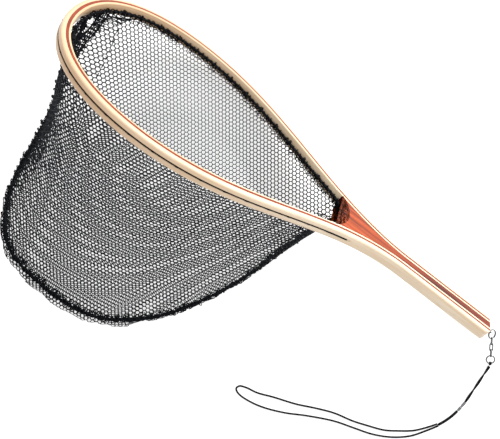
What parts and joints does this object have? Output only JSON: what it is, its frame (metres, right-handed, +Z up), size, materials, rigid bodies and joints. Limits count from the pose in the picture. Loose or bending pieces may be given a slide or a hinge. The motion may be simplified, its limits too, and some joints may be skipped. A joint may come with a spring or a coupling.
{
  "type": "landing net",
  "caption": "Hand landing net: teardrop hoop and handle of laminated wood, deep black netting bag laced to the hoop, and a looped cord lanyard on a short chain.",
  "frame": {"origin": "middle of the underside of the net as it lies, lanyard apart", "axes": "+X from the hoop's tip to the handle's end, +Z up from the surface, -Y towards the bottom of the bag"},
  "size_m": [0.6341, 0.3704, 0.2273],
  "materials": {
    "pale_maple": "clear satin varnish over pale maple",
    "inner_maple": "clear satin varnish over pale maple",
    "red_veneer": "clear satin varnish over red hardwood veneer",
    "rosewood": "clear satin varnish over rosewood",
    "black_cord": "braided nylon cord, black",
    "black_netting": "knotless nylon netting, black",
    "black_seam": "overlocked seam of nylon thread, black",
    "nickel": "nickel plate, polished",
    "black_lanyard": "braided nylon cord, black",
    "crimped_steel": "nickel-plated steel, crimped"
  },
  "bodies": {
    "net_frame": {"outer_lamination": "pale_maple", "red_veneer": "red_veneer", "inner_lamination": "inner_maple", "handle_core": "rosewood", "lacing_cord": "black_cord", "hem_rope": "black_cord", "near_net_panel": "black_netting", "far_net_panel": "black_netting", "seam_binding": "black_seam", "screw_eye": "nickel"},
    "split_ring": {"split_ring": "nickel"},
    "chain_link_1": {"chain_link_1": "nickel"},
    "chain_link_2": {"chain_link_2": "nickel"},
    "chain_link_3": {"chain_link_3": "nickel"},
    "lanyard_ring": {"lanyard_ring": "nickel", "lanyard_hitch": "black_lanyard", "lanyard_lead": "black_lanyard", "cord_ferrule": "crimped_steel", "lanyard_whipping": "black_lanyard", "lanyard_loop": "black_lanyard"}
  },
  "joints": [
    {"name": "split_ring_turn", "type": "hinge", "parent": "net_frame", "child": "split_ring", "pos_m": [0.28865, 0.10788, 0.01399], "axis": [0, 0, 1], "range_deg": [-4, 30]},
    {"name": "chain_link_1_turn", "type": "hinge", "parent": "split_ring", "child": "chain_link_1", "pos_m": [0.29386, 0.10444, 0.0102], "axis": [0, 0, 1], "range_deg": [-4, 12]},
    {"name": "chain_link_2_turn", "type": "hinge", "parent": "chain_link_1", "child": "chain_link_2", "pos_m": [0.29919, 0.0971, 0.00814], "axis": [0, 0, 1], "range_deg": [-4, 35]},
    {"name": "chain_link_3_turn", "type": "hinge", "parent": "chain_link_2", "child": "chain_link_3", "pos_m": [0.3028, 0.09213, 0.00674], "axis": [0, 0, 1], "range_deg": [-4, 35]},
    {"name": "lanyard_ring_turn", "type": "hinge", "parent": "chain_link_3", "child": "lanyard_ring", "pos_m": [0.30813, 0.0848, 0.00468], "axis": [0, 0, 1], "range_deg": [-4, 40]}
  ]
}
